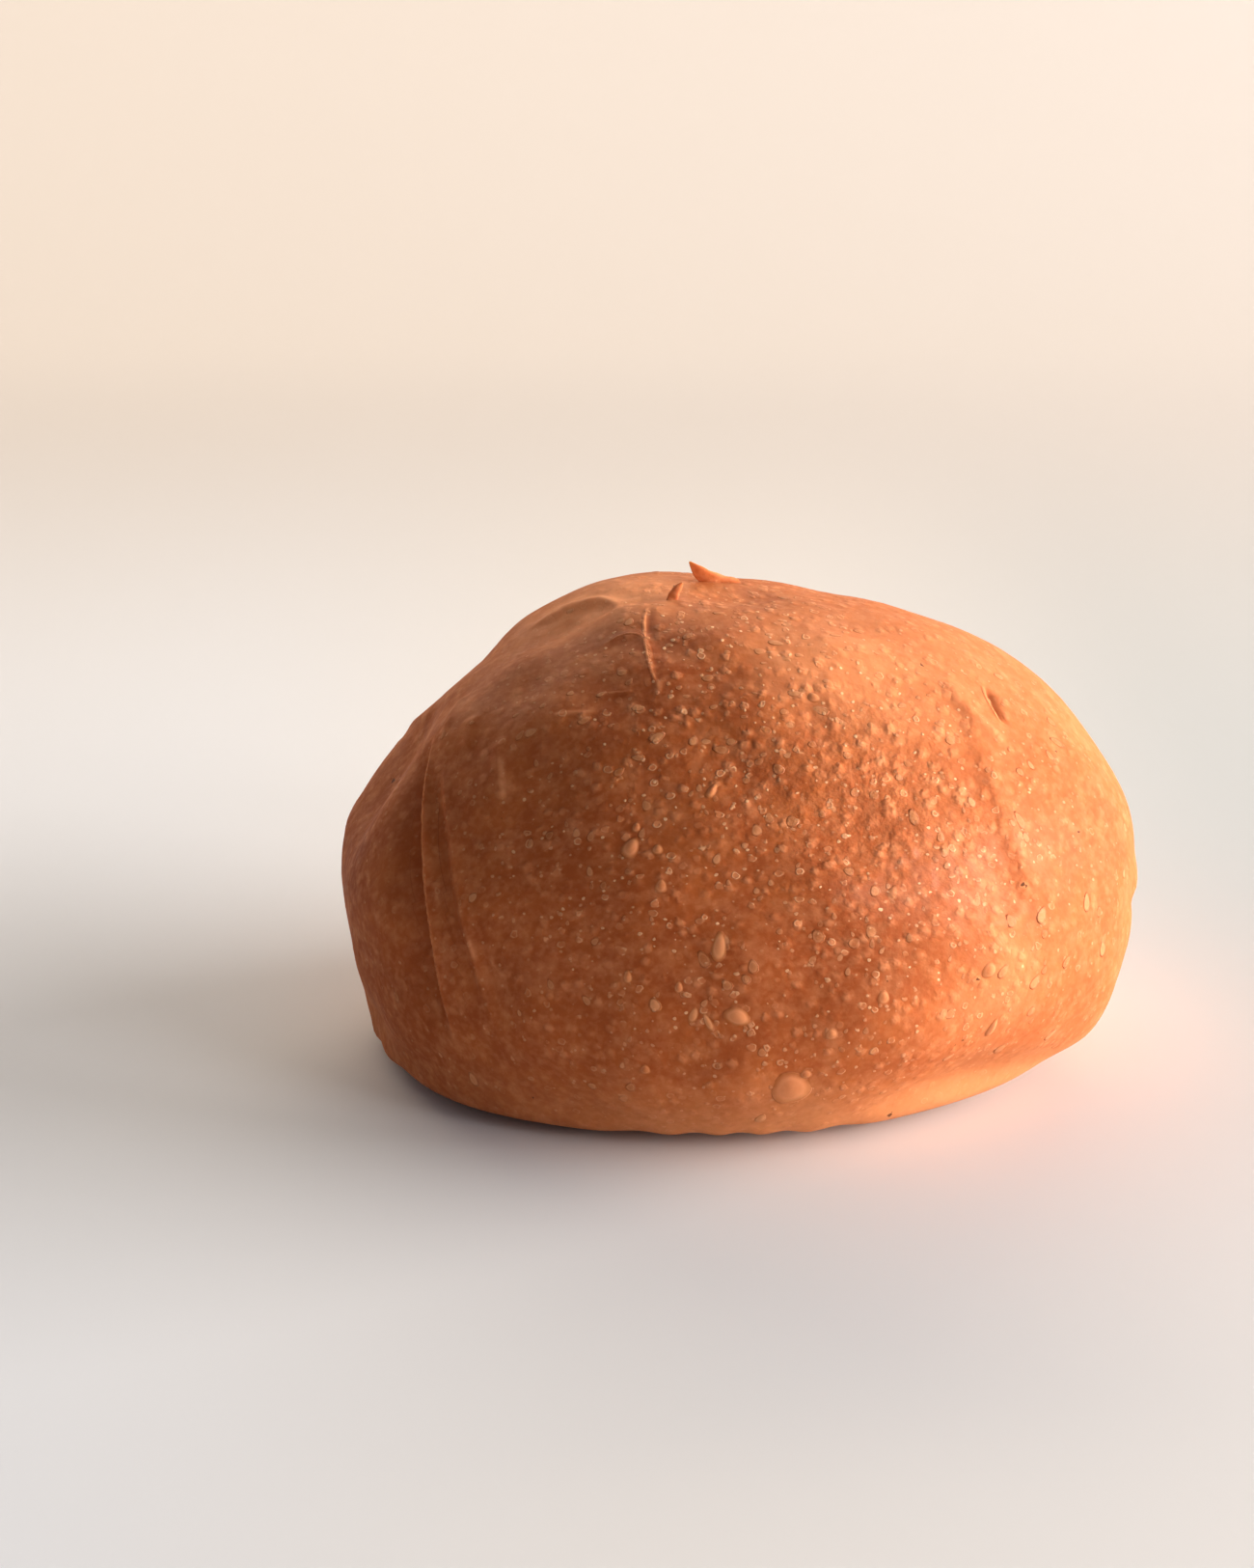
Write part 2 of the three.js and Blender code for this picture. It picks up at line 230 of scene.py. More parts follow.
def foldRelief(fold, ways, far):
    run, deep, wide, lip, step = fold
    line = foldLine(run)
    nearest = np.argmax(ways @ line.T, axis=1)
    ahead = unit(line[np.minimum(nearest + 1, foldSteps)] - line[np.maximum(nearest - 1, 0)])
    away = ways - line[nearest]
    along = (nearest + (away * ahead).sum(1) / np.linalg.norm(line[1] - line[0])) / foldSteps
    fade = smoothStep(along, 0, foldEnd) * smoothStep(1 - along, 0, foldEnd)
    gap = (away * np.cross(ahead, line[nearest])).sum(1) * far
    drop = np.where(gap < 0, (1 - bell(gap, step)) * bell(gap, wide), 0)
    rise = lip * bell(gap, 1.3 * step) - deep * drop
    return fade * rise, fade * drop * min(deep, 1), fade, gap


def waveRelief(points):
    total = np.zeros(len(points))
    for length, high, count in waves:
        for i in range(count):
            z = 1 - (2 * i + 1) / count
            flat, turn = math.sqrt(1 - z * z), i * math.pi * (3 - math.sqrt(5))
            run = points @ np.array([flat * math.cos(turn), flat * math.sin(turn), z])
            total += high / math.sqrt(count) * np.sin(2 * math.pi * run / length + i * i)
    return total


# The places on the finished skin in some directions, their height, how far they lie in a tuck,
# how strong and how far in mm the line of the nearest crisp fold is, and how pale a streak is
def onSkin(ways):
    far = reach(ways)
    points = ways * far[:, None]
    level = points[:, 2] + bun["bellyHeight"]
    relief = waveRelief(points)
    tuck, line, lineGap = np.zeros(len(ways)), np.zeros(len(ways)), np.full(len(ways), noLine)
    for azimuth, polar, high, spread in swells.values():
        angle = np.degrees(np.arccos(np.clip(ways @ direction(azimuth, polar), -1, 1)))
        relief += high * bell(angle, spread)
    for fold in folds.values():
        rise, hollow, fade, gap = foldRelief(fold, ways, far)
        relief += rise
        tuck = np.maximum(tuck, hollow)
        nearer = (fold[4] < 1) & (fade > 0) & (np.abs(gap) < np.abs(lineGap))
        crisp = min(2.5 - 2.5 * fold[4], 1)
        line = np.where(nearer, fade * crisp, line)
        lineGap = np.where(nearer, gap, lineGap)
    pale = np.zeros(len(ways))
    for run, wide, high, amount in streaks.values():
        _, _, fade, gap = foldRelief((run, 0, 1, 0, 1), ways, far)
        relief += high * fade * bell(gap, wide)
        pale = np.maximum(pale, amount * fade * bell(gap, wide))
    azimuth = np.arctan2(ways[:, 1], ways[:, 0])
    ripple = np.sin(scallop["count"] * azimuth) * bell(level - scallop["level"], scallop["level"])
    relief += scallop["high"] * ripple
    relief *= smoothStep(level, 0, bun["reliefFloor"])
    turns = crinkle["count"] * azimuth + crinkle["uneven"] * np.sin(4 * azimuth)
    ripple = np.sin(turns) - crinkle["bias"]
    ripple *= bell(level - crinkle["level"], crinkle["spread"]) * smoothStep(level, 0, 0.8)
    relief += crinkle["high"] * ripple
    points += ways * relief[:, None]
    climb = np.maximum(points[:, 2] / (bun["height"] - bun["bellyHeight"]), 0) ** 1.5
    points[:, 0] += bun["leanX"] * climb - bun["middle"][0]
    points[:, 1] += bun["leanY"] * climb - bun["middle"][1]
    points[:, 2] += bun["bellyHeight"]
    points[np.abs(points[:, 2]) < 1e-5, 2] = 0
    return points, level, tuck, line, lineGap, pale


# Directions that crowd towards the front, and thin out under the bun
def crowded(ways):
    front = direction(-80, 70)
    near = ways @ front
    crowd = bun["frontFiner"]
    closer = (near + crowd) / (1 + crowd * near)
    side = unit(ways - near[:, None] * front + 1e-12)
    ways = closer[:, None] * front + np.sqrt(np.maximum(1 - closer ** 2, 0))[:, None] * side
    share = np.arccos(np.clip(ways[:, 2], -1, 1)) / math.pi
    polar = 180 * ((1 - bun["undersideThin"]) * share + bun["undersideThin"] * share ** 5)
    return direction(np.degrees(np.arctan2(ways[:, 1], ways[:, 0])), polar)


def nearFold(ways):
    near = np.zeros(len(ways), bool)
    crisp = [(fold[0], bun["foldReach"]) for fold in folds.values() if fold[4] < 1]
    for run, close in crisp + [(streak[0], bun["streakReach"]) for streak in streaks.values()]:
        gap = np.sqrt(np.maximum(2 - 2 * (ways @ foldLine(run).T).max(1), 0)) * bun["halfDepth"]
        near |= gap < close
    return near


def ballOfFaces():
    ball = bmesh.new()
    bmesh.ops.create_icosphere(ball, subdivisions=1, radius=1)
    bmesh.ops.subdivide_edges(ball, edges=ball.edges, cuts=bun["edgeCuts"], use_grid_fill=True)
    ways = crowded(unit(np.array([vert.co[:] for vert in ball.verts])))
    for vert, way in zip(ball.verts, ways):
        vert.co = way
    near = nearFold(ways)
    ball.verts.index_update()
    toCut = [edge for edge in ball.edges if near[edge.verts[0].index] and near[edge.verts[1].index]]
    bmesh.ops.subdivide_edges(ball, edges=toCut, cuts=1, use_grid_fill=True)
    bmesh.ops.triangulate(ball, faces=ball.faces)
    mesh = bpy.data.meshes.new("bunSkin")
    ball.to_mesh(mesh)
    ball.free()
    ways = np.empty(3 * len(mesh.vertices))
    mesh.vertices.foreach_get("co", ways)
    return mesh, unit(ways.reshape(-1, 3))


# Where blisters stand, where the skin is pebbled and where it shines: azimuth, polar angle and
# spread in degrees
zones = {
    "front": (-78, 62, 42),
    "crown": (-75, 22, 30),
    "back": (82, 62, 36),
    "bare": (-170, 45, 35),
    "pebbled": (-58, 68, 23),
    "shiny": (-68, 66, 18),
}
blisterShares = {"least": 0.08, "most": 0.9, "crown": 0.9, "back": 0.65, "bare": 0.6, "tuck": 0.8}
leastPebbled = 0.22


def around(ways, azimuth, polar, spread):
    return bell(np.degrees(np.arccos(np.clip(ways @ direction(azimuth, polar), -1, 1))), spread)


def makeBunMesh():
    mesh, ways = ballOfFaces()
    points, level, tuck, line, lineGap, pale = onSkin(ways)
    near = {name: around(ways, *zone) for name, zone in zones.items()}
    # Most blisters stand on the front and right shoulder, few left of the seam and at the foot
    much = blisterShares
    share = np.maximum(near["front"], much["crown"] * near["crown"])
    share = much["least"] + much["most"] * np.maximum(share, much["back"] * near["back"])
    share *= (1 - much["bare"] * near["bare"]) * smoothStep(level, 1, 11) * (1 - much["tuck"] * tuck)
    peel = leastPebbled + (1 - leastPebbled) * near["pebbled"]
    bakeAndLight = sum(amount * around(ways, *patch) for *patch, amount in bakeAndLightPatches.values())
    mesh.vertices.foreach_set("co", (points * mm).ravel())
    peel *= smoothStep(level, 2, 12)
    masks = {"tuck": tuck, "line": line, "lineGap": lineGap, "pale": pale, "blisterShare": share,
             "peel": peel, "gloss": near["shiny"], "bakeAndLight": bakeAndLight}
    for name, values in masks.items():
        mesh.attributes.new(name, "FLOAT", "POINT").data.foreach_set("value", values.astype(np.float32))
    mesh.update()
    return mesh


bunMesh = makeBunMesh()
print("bun formed:", len(bunMesh.polygons), "faces")


# A node tree under construction: nodes are added, set and joined in one call
class Nodes:
    def __init__(self, tree):
        self.tree = tree

    def fill(self, socket, value):
        if isinstance(value, bpy.types.NodeSocket):
            self.tree.links.new(value, socket)
        elif isinstance(value, tuple) and socket.type == "RGBA":
            socket.default_value = (*value, 1)
        else:
            socket.default_value = value

    def add(self, kind, inputs=None, **settings):
        node = self.tree.nodes.new(kind)
        for name, value in settings.items():
            setattr(node, name, value)
        for name, value in (inputs or {}).items():
            self.fill(node.inputs[name], value)
        return node

    def math(self, operation, *values, clamp=False):
        node = self.add("ShaderNodeMath", operation=operation, use_clamp=clamp)
        for socket, value in zip(node.inputs, values):
            self.fill(socket, value)
        return node.outputs[0]

    def vector(self, operation, inputs, output="Vector"):
        return self.add("ShaderNodeVectorMath", inputs, operation=operation).outputs[output]

    def times(self, first, *others):
        for other in others:
            first = self.math("MULTIPLY", first, other)
        return first

    def step(self, value, low, high, start=0, end=1):
        inputs = {"Value": value, "From Min": low, "From Max": high, "To Min": start, "To Max": end}
        return self.add("ShaderNodeMapRange", inputs, interpolation_type="SMOOTHSTEP").outputs["Result"]

    # Full where the value is within inner of the middle, and nothing beyond outer
    def band(self, value, middle, inner, outer):
        off = self.math("ABSOLUTE", self.math("SUBTRACT", value, middle))
        return self.math("SUBTRACT", 1, self.step(off, inner, outer))

    def split(self, kind, socket, value):
        return self.add(kind, {socket: value}).outputs

    # A number that the mesh carries at each point
    def carried(self, name):
        made = self.add("GeometryNodeInputNamedAttribute", {"Name": name}, data_type="FLOAT")
        return made.outputs["Attribute"]

    def store(self, geometry, name, value):
        inputs = {"Geometry": geometry, "Name": name, "Value": value}
        made = self.add("GeometryNodeStoreNamedAttribute", inputs, data_type="FLOAT", domain="POINT")
        return made.outputs["Geometry"]

    def blend(self, share, low, high):
        node = self.add("ShaderNodeMix", data_type="RGBA")
        for index, value in ((0, share), (6, low), (7, high)):
            self.fill(node.inputs[index], value)
        return node.outputs[2]


def geometryTree(name, sizes):
    tree = bpy.data.node_groups.new(name, "GeometryNodeTree")
    face = tree.interface
    face.new_socket("Geometry", in_out="INPUT", socket_type="NodeSocketGeometry")
    for key in sizes:
        kind = "NodeSocketInt" if key == "Seed" else "NodeSocketFloat"
        face.new_socket(key, in_out="INPUT", socket_type=kind)
    face.new_socket("Material", in_out="INPUT", socket_type="NodeSocketMaterial")
    face.new_socket("Geometry", in_out="OUTPUT", socket_type="NodeSocketGeometry")
    return tree


def finishTree(n, geometry, material):
    smooth = n.add("GeometryNodeSetShadeSmooth", {"Geometry": geometry}).outputs["Geometry"]
    real = n.add("GeometryNodeRealizeInstances", {"Geometry": smooth}).outputs["Geometry"]
    done = n.add("GeometryNodeSetMaterial", {"Geometry": real, "Material": material}).outputs["Geometry"]
    n.add("NodeGroupOutput", {"Geometry": done})


def shaped(name, mesh, tree, sizes, material):
    obj = bpy.data.objects.new(name, mesh)
    bpy.context.scene.collection.objects.link(obj)
    modifier = obj.modifiers.new(tree.name, "NODES")
    modifier.node_group = tree
    for socket in tree.interface.items_tree:
        if socket.in_out == "INPUT" and socket.name in sizes:
            modifier[socket.identifier] = sizes[socket.name]
        elif socket.in_out == "INPUT" and socket.name == "Material":
            modifier[socket.identifier] = material
    ready = obj.evaluated_get(bpy.context.evaluated_depsgraph_get())
    plain = bpy.data.meshes.new_from_object(ready)
    obj.modifiers.remove(modifier)
    obj.data = plain
    plain.name = name
    return obj


def ofCrust(obj):
    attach(obj, "root")
    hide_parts("bun")


# The crust's colours, and how much each of its markings shows
crust = {
    "gold": (0.48, 0.126, 0.032),
    "brown": (0.385, 0.09, 0.024),
    "pale": (0.68, 0.185, 0.065),           # of the right side: baked less, and painted light from the lamp on that side
    # darker brown, also used for painted shade
    "deep": (0.28, 0.055, 0.012),
    "foot": (0.7, 0.28, 0.112),
    "blister": (0.78, 0.31, 0.14),
    # pale bubble walls, with painted glints
    "dot": (0.95, 0.58, 0.32),
    "light": (0.95, 0.34, 0.14),            # where it baked paler, and painted light
    "speck": (0.05, 0.02, 0.01),
    "mottleShare": 0.2,
    "darkShare": 0.18,
    "tuckShadeShare": 0.55,
    "shadeShare": 0.75,
    "lipShare": 0.3,
    "streakShare": 0.75,
    "blobShare": 0.5,
    "gapShare": 0.3,
    "discShare": 0.4,
    "ringShare": 0.4,
    "dotShare": 0.8,
    "speckShare": 0.8,
    "golden": 0.5,
    "peelDepth": 0.6,
    "coat": 0.42,
    "drawnOut": 0.62,                       # how far the markings are drawn out on the crown
    "leastMarked": 0.2,                     # how strong they are where blisters are fewest
    "onCrust": 1.0,                         # and on the whole crust
    "onBlister": 0.6,                       # and on a blister
}

# Sizes of the markings' patterns, in mm
pattern = {
    "browning": 4, "cloud": 22, "right": 18, "foot": 14, "patch": 7,
    "mottle": 2.2, "fineMottle": 0.8, "dark": 1.5, "bead": 1.1, "streak": 0.9,
    "blob": 1.8, "disc": 1.7, "ringGap": 0.9, "dot": 1.1, "speck": 9,
    "pebble": 1.6, "finePebble": 0.8, "shine": 4.5,
}

# How the crust takes light, with lengths in metres
glaze = {
    "bump": 0.6, "bumpHeight": 0.4 * mm,
    "under": 0.2, "underColours": (1, 0.45, 0.2), "underReach": 1.5 * mm,
    "coatRoughness": 0.28,
    "specular": 0.05,
}

# A blister's paleness: where its rim begins and fades, and how pale its top, rim and luck make it
blisterRim = {"from": 0.45, "full": 0.72, "fadeFrom": 0.5, "gone": 0.98}
blisterPale = {"top": 0.12, "rim": 0.35, "luck": 0.55}


# Colour, bump, roughness and coat of baked dough, from the place on the bun. Markings is how
# strong its spots and bubbles are
def makeDough():
    tree = bpy.data.node_groups.new("bakedDough", "ShaderNodeTree")
    tree.interface.new_socket("Markings", in_out="INPUT", socket_type="NodeSocketFloat")
    tree.interface.new_socket("Colour", in_out="OUTPUT", socket_type="NodeSocketColor")
    for name in ("Bump", "Rough", "Coat"):
        tree.interface.new_socket(name, in_out="OUTPUT", socket_type="NodeSocketFloat")
    n = Nodes(tree)
    markings = n.add("NodeGroupInput").outputs["Markings"]
    spot = n.add("ShaderNodeTexCoord").outputs["Object"]
    across, behind, height = n.split("ShaderNodeSeparateXYZ", "Vector", spot)
    # On the crown the markings are drawn out from front to back
    drawn = n.times(behind, n.step(height, 0.012, 0.056, 1, crust["drawnOut"]))
    place = n.add("ShaderNodeCombineXYZ", {"X": across, "Y": drawn, "Z": height}).outputs[0]

    def shifted(seed):
        return n.vector("ADD", {0: place, 1: (0.37 * seed, 0.61 * seed, 0.23 * seed)})

    def noise(name, detail, seed):
        inputs = {"Vector": shifted(seed), "Scale": 1 / (pattern[name] * mm), "Detail": detail}
        return n.add("ShaderNodeTexNoise", inputs).outputs[0]

    # Spots of one cell each: how far from a cell's middle, and a number that is the cell's own
    def cells(name, seed, warp):
        moved = n.vector("MULTIPLY_ADD", {0: warp, 1: (0.3 * mm, 0.3 * mm, 0.3 * mm), 2: shifted(seed)})
        inputs = {"Vector": moved, "Scale": 1 / (pattern[name] * mm)}
        made = n.add("ShaderNodeTexVoronoi", inputs).outputs
        uneven = n.split("ShaderNodeSeparateColor", "Color", warp)[2]
        away = n.math("SUBTRACT", n.math("MULTIPLY_ADD", uneven, 0.3, made["Distance"]), 0.15)
        return away, n.split("ShaderNodeSeparateColor", "Color", made["Color"])[0]

    def mask(name):
        return n.add("ShaderNodeAttribute", attribute_name=name).outputs["Fac"]

    def turned(colour, share, towards):
        return n.blend(n.math("MULTIPLY", *share, clamp=True), colour, crust[towards])

    tuck, peel, gloss, share = mask("tuck"), mask("peel"), mask("gloss"), mask("blisterShare")
    line, lineGap = mask("line"), mask("lineGap")
    warp = n.add("ShaderNodeTexNoise", {"Vector": place, "Scale": 1300, "Detail": 1}).outputs["Color"]

    # Browning of the whole crust. Paler to the right, partly where it baked less and partly painted
    # light from the lamp on that side, and paler along the foot
    colour = n.blend(n.step(noise("browning", 4, 1), 0.3, 0.7), crust["gold"], crust["brown"])
    colour = turned(colour, (n.step(noise("cloud", 2, 2), 0.45, 0.75), 0.25), "deep")
    right = n.step(n.math("MULTIPLY_ADD", noise("right", 2, 10), 0.02, across), 0.0, 0.045)
    colour = turned(colour, (right, crust["golden"]), "pale")
    # Paler along the foot, where it baked less, and more so to the right, where it is painted light too
    low = n.step(n.math("MULTIPLY_ADD", noise("foot", 2, 3), 0.008, height), 0.006, 0.017, 1, 0)
    colour = turned(colour, (low, n.step(across, -0.03, 0.005, 0.2, 0.85)), "foot")
    # Paler and darker patches: partly uneven baking, partly painted light and shade
    uneven = n.times(mask("bakeAndLight"), n.math("MULTIPLY_ADD", noise("patch", 3, 17), 1.2, 0.4))
    colour = turned(colour, (uneven, 1), "light")
    colour = turned(colour, (uneven, -1), "deep")
    mottle = n.step(noise("mottle", 3, 13), 0.44, 0.68)
    mottle = n.math("MULTIPLY_ADD", n.step(noise("fineMottle", 3, 12), 0.42, 0.66), 0.7, mottle)
    colour = turned(colour, (mottle, crust["mottleShare"]), "blister")
    colour = turned(colour, (n.step(noise("dark", 3, 18), 0.5, 0.75), crust["darkShare"]), "deep")
    # Painted shade in the tucks
    colour = turned(colour, (tuck, crust["tuckShadeShare"]), "deep")

    # Along the crisp folds: painted shade on the low side, and above it a thin pale lip, beaded, partly
    # a paler dry edge and partly painted light. Then the pale streaks, partly pale skin and partly
    # painted light
    shade = n.times(n.step(lineGap, -0.25, -0.03, 1, 0), n.step(lineGap, -1.8, -0.5), line)
    colour = turned(colour, (shade, crust["shadeShare"]), "deep")
    beads = n.step(noise("bead", 2, 11), 0.3, 0.6, 0.15, 1)
    lip = n.times(n.band(lineGap, 0.12, 0.05, 0.33), beads, line)
    colour = turned(colour, (lip, crust["lipShare"]), "blister")
    streak = n.times(mask("pale"), n.step(noise("streak", 2, 16), 0.2, 0.6, 0.4, 1))
    colour = turned(colour, (streak, crust["streakShare"]), "blister")

    # Soft pale lumps of skin, with painted shade between them where it is pebbled
    many = n.times(n.step(share, 0.05, 0.75, crust["leastMarked"], 1), markings)
    wide, luck = cells("blob", 14, warp)
    blob = n.times(n.math("MULTIPLY_ADD", many, 0.7, 0.3), luck, n.step(wide, 0.1, 0.42, 1, 0))
    colour = turned(colour, (blob, crust["blobShare"]), "blister")
    gapShade = n.times(peel, crust["gapShare"])
    colour = turned(colour, (n.step(wide, 0.35, 0.6), gapShade), "deep")

    # Bubbles under the glaze: discs, broken rings and pinpoints, some strong and most faint. The rings
    # and pinpoints are pale bubble walls with painted glints
    far, luck = cells("disc", 4, warp)
    disc = n.times(n.step(far, 0.18, 0.32, 1, 0), luck, many)
    colour = turned(colour, (disc, crust["discShare"]), "blister")
    broken = n.times(n.step(luck, 0.5, 0.8), n.step(noise("ringGap", 1, 15), 0.4, 0.6))
    ring = n.times(n.band(far, 0.24, 0.02, 0.08), broken, many)
    colour = turned(colour, (ring, crust["ringShare"]), "dot")
    far, luck = cells("dot", 5, warp)
    dot = n.times(n.step(far, 0.12, 0.22, 1, 0), n.math("POWER", luck, 2), many)
    colour = turned(colour, (dot, crust["dotShare"]), "dot")
    speck = n.step(cells("speck", 21, warp)[0], 0.015, 0.025, 1, 0)
    colour = turned(colour, (speck, crust["speckShare"]), "speck")

    # Relief too fine for the mesh, finest where the skin shines
    fine = n.math("MULTIPLY_ADD", gloss, 1.5, 0.5)
    pebbles = n.math("MULTIPLY_ADD", noise("pebble", 2, 7), 1.2, n.step(wide, 0.1, 0.6, 1, 0))
    pebbles = n.math("MULTIPLY_ADD", noise("finePebble", 3, 8), fine, pebbles)
    pebbles = n.times(pebbles, n.math("MULTIPLY_ADD", peel, crust["peelDepth"], 0.05))
    bump = n.math("MULTIPLY_ADD", blob, 0.5, n.times(dot, 0.3))
    bump = n.math("MULTIPLY_ADD", n.math("ADD", disc, ring), 0.25, bump)
    bump = n.math("ADD", n.math("MULTIPLY_ADD", lip, 0.5, bump), pebbles)
    shine = noise("shine", 3, 9)
    coat = n.math("MULTIPLY_ADD", n.times(gloss, shine), crust["coat"], 0.02)
    rough = n.math("MULTIPLY_ADD", shine, 0.3, 0.55)
    n.add("NodeGroupOutput", {"Colour": colour, "Bump": bump, "Rough": rough, "Coat": coat})
    return tree


dough = makeDough()


def newMaterial(name):
    material = bpy.data.materials.new(name)
    material.use_nodes = True
    material.node_tree.nodes.clear()
    n = Nodes(material.node_tree)
    shader = n.add("ShaderNodeBsdfPrincipled")
    n.add("ShaderNodeOutputMaterial", {"Surface": shader.outputs["BSDF"]})
    return material, n, shader


# Glazed crust. On a blister its colour turns paler, most along the blister's rim
def makeCrust(name, blistered, markings):
    material, n, shader = newMaterial(name)
    baked = n.add("ShaderNodeGroup", {"Markings": markings}, node_tree=dough).outputs
    colour = baked["Colour"]
    if blistered:
        rim = n.add("ShaderNodeAttribute", attribute_name="rim").outputs["Fac"]
        luck = n.add("ShaderNodeAttribute", attribute_name="luck").outputs["Fac"]
        fade = n.step(rim, blisterRim["fadeFrom"], blisterRim["gone"], 1, 0)
        ringed = n.step(rim, blisterRim["from"], blisterRim["full"])
        paler = n.math("MULTIPLY_ADD", ringed, blisterPale["rim"], blisterPale["top"])
        paler = n.math("MULTIPLY_ADD", luck, blisterPale["luck"], paler)
        colour = n.blend(n.math("MULTIPLY", paler, fade, clamp=True), colour, crust["blister"])
    bump = n.add("ShaderNodeBump", {"Strength": glaze["bump"], "Distance": glaze["bumpHeight"],
                                    "Height": baked["Bump"]})
    n.fill(shader.inputs["Base Color"], colour)
    n.fill(shader.inputs["Normal"], bump.outputs["Normal"])
    n.fill(shader.inputs["Roughness"], baked["Rough"])
    shader.inputs["Subsurface Weight"].default_value = glaze["under"]
    shader.inputs["Subsurface Radius"].default_value = glaze["underColours"]
    shader.inputs["Subsurface Scale"].default_value = glaze["underReach"]
    n.fill(shader.inputs["Coat Weight"], baked["Coat"])
    shader.inputs["Coat Roughness"].default_value = glaze["coatRoughness"]
    shader.inputs["Specular IOR Level"].default_value = glaze["specular"]
    return material


glazedCrust = makeCrust("glazedCrust", False, crust["onCrust"])
blisterSkin = makeCrust("blisterSkin", True, crust["onBlister"])

# Fine unevenness of the skin, strongest where it is pebbled
grain = {"Grain Size": 2.2 * mm, "Grain Rise": 0.24 * mm}


def makeGrainTree():
    tree = geometryTree("unevenSkin", grain)
    n = Nodes(tree)
    given = n.add("NodeGroupInput").outputs
    place = n.add("GeometryNodeInputPosition").outputs["Position"]
    normal = n.add("GeometryNodeInputNormal").outputs["Normal"]
    scale = n.math("DIVIDE", 1, given["Grain Size"])
    inputs = {"Vector": place, "Scale": scale, "Detail": 1.5, "Roughness": 0.55}
    bumps = n.math("SUBTRACT", n.add("ShaderNodeTexNoise", inputs).outputs[0], 0.5)
    rise = n.times(bumps, n.times(given["Grain Rise"], n.carried("peel")), 2)
    lift = n.vector("SCALE", {0: normal, "Scale": rise})
    raised = n.add("GeometryNodeSetPosition", {"Geometry": given["Geometry"], "Offset": lift})
    finishTree(n, raised.outputs["Geometry"], given["Material"])
    return tree


bunCrust = shaped("bunCrust", bunMesh, makeGrainTree(), grain, glazedCrust)
ofCrust(bunCrust)
print("crust made:", len(bunCrust.data.polygons), "faces")

# Blisters: small flat-topped lenses scattered over the skin
blisters = {
    "Density": 220000,            # most per square metre
    "Spacing": 0.7 * mm,
    "Small Radius": 0.25 * mm,
    "Large Radius": 0.8 * mm,
    "Rise": 0.09,                 # height as a share of the radius
    "Seed": 7,
}


def makeBlisterTree():
    tree = geometryTree("scatteredBlisters", blisters)
    n = Nodes(tree)
    given = n.add("NodeGroupInput").outputs
    scatter = n.add("GeometryNodeDistributePointsOnFaces", {
        "Mesh": given["Geometry"], "Distance Min": given["Spacing"], "Density Max": given["Density"],
        "Density Factor": n.carried("blisterShare"), "Seed": given["Seed"],
    }, distribute_method="POISSON").outputs

    def luck(offset):
        seed = n.math("ADD", given["Seed"], offset)
        return n.add("FunctionNodeRandomValue", {"Seed": seed}, data_type="FLOAT").outputs[1]

    def triple(x, y, z):
        return n.add("ShaderNodeCombineXYZ", {"X": x, "Y": y, "Z": z}).outputs[0]

    points = n.store(scatter["Points"], "luck", n.math("POWER", luck(1), 1.5))
    spread = n.math("SUBTRACT", given["Large Radius"], given["Small Radius"])
    radius = n.math("MULTIPLY_ADD", n.math("POWER", luck(2), 4), spread, given["Small Radius"])
    long = n.times(radius, n.math("MULTIPLY_ADD", luck(3), 0.7, 0.9))
    size = triple(radius, long, n.times(radius, given["Rise"]))
    lean = triple(n.math("SUBTRACT", luck(4), 0.5), n.math("SUBTRACT", luck(5), 0.5), 0.6)
    turn = n.add("FunctionNodeAxesToRotation", {0: scatter["Normal"], 1: lean},
                 primary_axis="Z", secondary_axis="Y").outputs[0]

    # One blister: a flat-topped ball, narrower at one end, which carries how near its rim a point is
    ball = n.add("GeometryNodeMeshUVSphere", {"Segments": 10, "Rings": 6, "Radius": 1}).outputs["Mesh"]
    spot = n.add("GeometryNodeInputPosition").outputs[0]
    x, y, z = n.split("ShaderNodeSeparateXYZ", "Vector", spot)
    ball = n.store(ball, "rim", n.math("SQRT", n.math("MULTIPLY_ADD", x, x, n.times(y, y))))
    flat = n.times(n.math("SIGN", z), n.math("POWER", n.math("ABSOLUTE", z), 3))
    tear = triple(n.times(x, n.math("MULTIPLY_ADD", y, -0.3, 0.9)), y, flat)
    lens = n.add("GeometryNodeSetPosition", {"Geometry": ball, "Position": tear}).outputs["Geometry"]
    inputs = {"Points": points, "Instance": lens, "Rotation": turn, "Scale": size}
    placed = n.add("GeometryNodeInstanceOnPoints", inputs).outputs["Instances"]
    finishTree(n, placed, given["Material"])
    return tree


bunBlisters = shaped("bunBlisters", bunCrust.data, makeBlisterTree(), blisters, blisterSkin)
ofCrust(bunBlisters)
print("blisters scattered:", len(bunBlisters.data.polygons), "faces")

